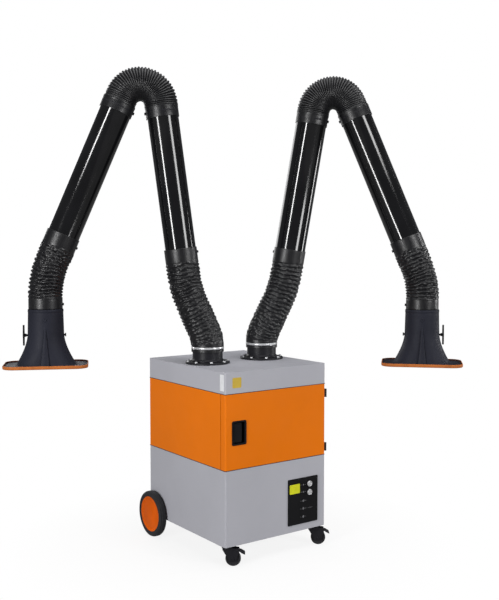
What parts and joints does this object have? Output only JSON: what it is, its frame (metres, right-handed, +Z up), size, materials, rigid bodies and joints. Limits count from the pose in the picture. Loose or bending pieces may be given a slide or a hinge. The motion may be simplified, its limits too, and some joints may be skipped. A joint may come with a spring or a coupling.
{
  "type": "mobile welding fume extractor",
  "caption": "Wheeled sheet-metal filter cabinet that draws welding fume through two jointed extraction arms, each with flexible hoses and a flanged suction hood.",
  "frame": {"origin": "on the floor, under the centre of the cabinet", "axes": "+Z up, -Y out of the door and control panel, +X to the door's hinge side"},
  "size_m": [2.0834, 1.3562, 2.4256],
  "materials": {
    "cabinet_grey": "satin powder coat",
    "cabinet_orange": "satin powder coat",
    "disc_orange": "semi-gloss moulded",
    "lip_orange": "matt rubber",
    "duct_black": "gloss black coating",
    "black_metal": "satin black",
    "zinc": "zinc plated",
    "motor_grey": "cast and painted",
    "hose_black": "coated hose fabric",
    "hood_black": "matt moulded",
    "black_plastic": "matt moulded",
    "tyre_black": "worn matt rubber",
    "seal_black": "cellular rubber",
    "filter_white": "pleated non-woven",
    "lens": "clear backlit lens",
    "bright_key": "polished"
  },
  "bodies": {
    "cabinet": {"lower_housing": "cabinet_grey", "rear_panel": "cabinet_grey", "filter_chamber": "cabinet_orange", "top_cover": "cabinet_grey", "arm_flanges": "black_metal", "flange_bolts": "zinc", "hinge_frame_leaves": "black_metal", "filter_cassette": "black_plastic", "filter_pleats": "filter_white", "fan_scroll": "zinc", "fan_motor": "motor_grey", "control_panel": "black_plastic", "panel_lenses": "lens", "rear_axle": "zinc", "caster_plates": "zinc", "cable_gland": "black_plastic"},
    "fan": {"impeller": "zinc"},
    "door": {"door_panel": "cabinet_orange", "door_gasket": "seal_black", "hinge_door_leaves": "black_metal", "handle_cup": "black_plastic"},
    "handle": {"door_handle": "black_plastic"},
    "start_key": {"start_button": "bright_key"},
    "stop_key": {"stop_button": "bright_key"},
    "wheel_left": {"tyre_left": "tyre_black", "wheel_disc_left": "disc_orange"},
    "wheel_right": {"tyre_right": "tyre_black", "wheel_disc_right": "disc_orange"},
    "caster_left": {"caster_fork_left": "black_metal"},
    "roller_left": {"caster_wheel_left": "tyre_black"},
    "pedal_left": {"brake_pedal_left": "black_metal"},
    "caster_right": {"caster_fork_right": "black_metal"},
    "roller_right": {"caster_wheel_right": "tyre_black"},
    "pedal_right": {"brake_pedal_right": "black_metal"},
    "turret_left": {"swivel_collar_left": "black_metal", "base_clamp_left": "zinc", "lower_hose_left": "hose_black"},
    "lower_arm_left": {"lower_tube_left": "duct_black", "lower_frame_left": "black_metal", "elbow_hose_left": "hose_black"},
    "upper_arm_left": {"upper_tube_left": "duct_black", "upper_frame_left": "black_metal", "wrist_hose_left": "hose_black"},
    "wrist_left": {"hood_bracket_left": "black_metal"},
    "hood_left": {"hood_left": "hood_black", "hood_lip_left": "lip_orange"},
    "damper_left": {"damper_left": "black_plastic"},
    "turret_right": {"swivel_collar_right": "black_metal", "base_clamp_right": "zinc", "lower_hose_right": "hose_black"},
    "lower_arm_right": {"lower_tube_right": "duct_black", "lower_frame_right": "black_metal", "elbow_hose_right": "hose_black"},
    "upper_arm_right": {"upper_tube_right": "duct_black", "upper_frame_right": "black_metal", "wrist_hose_right": "hose_black"},
    "wrist_right": {"hood_bracket_right": "black_metal"},
    "hood_right": {"hood_right": "hood_black", "hood_lip_right": "lip_orange"},
    "damper_right": {"damper_right": "black_plastic"}
  },
  "joints": [
    {"name": "fan_spin", "type": "hinge", "parent": "cabinet", "child": "fan", "pos_m": [0, 0.02, 0.38], "axis": [0, 0, 1], "continuous": true},
    {"name": "door_swing", "type": "hinge", "parent": "cabinet", "child": "door", "pos_m": [0.316, -0.356, 0.65], "axis": [0, 0, 1], "range_deg": [0, 110]},
    {"name": "handle_pull", "type": "hinge", "parent": "door", "child": "handle", "pos_m": [-0.2575, -0.352, 0.651], "axis": [0, 0, -1], "range_deg": [0, 35], "stiffness_Nm_per_rad": 0.3},
    {"name": "start_press", "type": "slide", "parent": "cabinet", "child": "start_key", "axis": [0, 1, 0], "range_m": [0, 0.003], "stiffness_N_per_m": 250},
    {"name": "stop_press", "type": "slide", "parent": "cabinet", "child": "stop_key", "axis": [0, 1, 0], "range_m": [0, 0.003], "stiffness_N_per_m": 250},
    {"name": "wheel_spin_left", "type": "hinge", "parent": "cabinet", "child": "wheel_left", "pos_m": [-0.335, 0.29, 0.12], "axis": [1, 0, 0], "continuous": true},
    {"name": "wheel_spin_right", "type": "hinge", "parent": "cabinet", "child": "wheel_right", "pos_m": [0.335, 0.29, 0.12], "axis": [1, 0, 0], "continuous": true},
    {"name": "caster_swivel_left", "type": "hinge", "parent": "cabinet", "child": "caster_left", "pos_m": [-0.268, -0.312, 0.095], "axis": [0, 0, 1], "continuous": true},
    {"name": "caster_roll_left", "type": "hinge", "parent": "caster_left", "child": "roller_left", "pos_m": [-0.24373, -0.32963, 0.0375], "axis": [0.5878, 0.809, 0], "continuous": true},
    {"name": "brake_left", "type": "hinge", "parent": "caster_left", "child": "pedal_left", "pos_m": [-0.22593, -0.34257, 0.078], "axis": [0.5878, 0.809, 0], "range_deg": [0, 10]},
    {"name": "caster_swivel_right", "type": "hinge", "parent": "cabinet", "child": "caster_right", "pos_m": [0.268, -0.312, 0.095], "axis": [0, 0, 1], "continuous": true},
    {"name": "caster_roll_right", "type": "hinge", "parent": "caster_right", "child": "roller_right", "pos_m": [0.29227, -0.32963, 0.0375], "axis": [0.5878, 0.809, 0], "continuous": true},
    {"name": "brake_right", "type": "hinge", "parent": "caster_right", "child": "pedal_right", "pos_m": [0.31007, -0.34257, 0.078], "axis": [0.5878, 0.809, 0], "range_deg": [0, 10]},
    {"name": "swivel_left", "type": "hinge", "parent": "cabinet", "child": "turret_left", "pos_m": [-0.172, 0, 0.945], "axis": [0, 0, 1], "range_deg": [-60, 110]},
    {"name": "shoulder_left", "type": "hinge", "parent": "turret_left", "child": "lower_arm_left", "pos_m": [-0.20346, 0.01534, 1.125], "axis": [-0.4384, -0.8988, 0], "range_deg": [-15, 35], "deforming": ["lower_hose_left"]},
    {"name": "elbow_left", "type": "hinge", "parent": "lower_arm_left", "child": "upper_arm_left", "pos_m": [-0.46595, 0.14337, 2.30219], "axis": [0.4384, 0.8988, 0], "range_deg": [-8, 75], "deforming": ["elbow_hose_left"]},
    {"name": "wrist_left", "type": "hinge", "parent": "upper_arm_left", "child": "wrist_left", "pos_m": [-0.89657, 0.3534, 1.38335], "axis": [0.4384, 0.8988, 0], "range_deg": [-60, 60], "deforming": ["wrist_hose_left"]},
    {"name": "hood_turn_left", "type": "hinge", "parent": "wrist_left", "child": "hood_left", "pos_m": [-0.89657, 0.3534, 1.21035], "axis": [0, 0, 1], "range_deg": [-90, 90]},
    {"name": "damper_turn_left", "type": "hinge", "parent": "hood_left", "child": "damper_left", "pos_m": [-0.89657, 0.3534, 1.10235], "axis": [-0.8988, 0.4384, 0], "range_deg": [0, 90]},
    {"name": "swivel_right", "type": "hinge", "parent": "cabinet", "child": "turret_right", "pos_m": [0.172, 0, 0.945], "axis": [0, 0, 1], "range_deg": [-40, 130]},
    {"name": "shoulder_right", "type": "hinge", "parent": "turret_right", "child": "lower_arm_right", "pos_m": [0.19631, -0.02518, 1.125], "axis": [0.7193, 0.6947, 0], "range_deg": [-15, 35], "deforming": ["lower_hose_right"]},
    {"name": "elbow_right", "type": "hinge", "parent": "lower_arm_right", "child": "upper_arm_right", "pos_m": [0.42902, -0.26615, 2.2907], "axis": [-0.7193, -0.6947, 0], "range_deg": [-8, 75], "deforming": ["elbow_hose_right"]},
    {"name": "wrist_right", "type": "hinge", "parent": "upper_arm_right", "child": "wrist_right", "pos_m": [0.75625, -0.60501, 1.36771], "axis": [-0.7193, -0.6947, 0], "range_deg": [-60, 60], "deforming": ["wrist_hose_right"]},
    {"name": "hood_turn_right", "type": "hinge", "parent": "wrist_right", "child": "hood_right", "pos_m": [0.75625, -0.60501, 1.19471], "axis": [0, 0, 1], "range_deg": [-90, 90]},
    {"name": "damper_turn_right", "type": "hinge", "parent": "hood_right", "child": "damper_right", "pos_m": [0.75625, -0.60501, 1.08671], "axis": [0.6947, -0.7193, 0], "range_deg": [0, 90]}
  ]
}
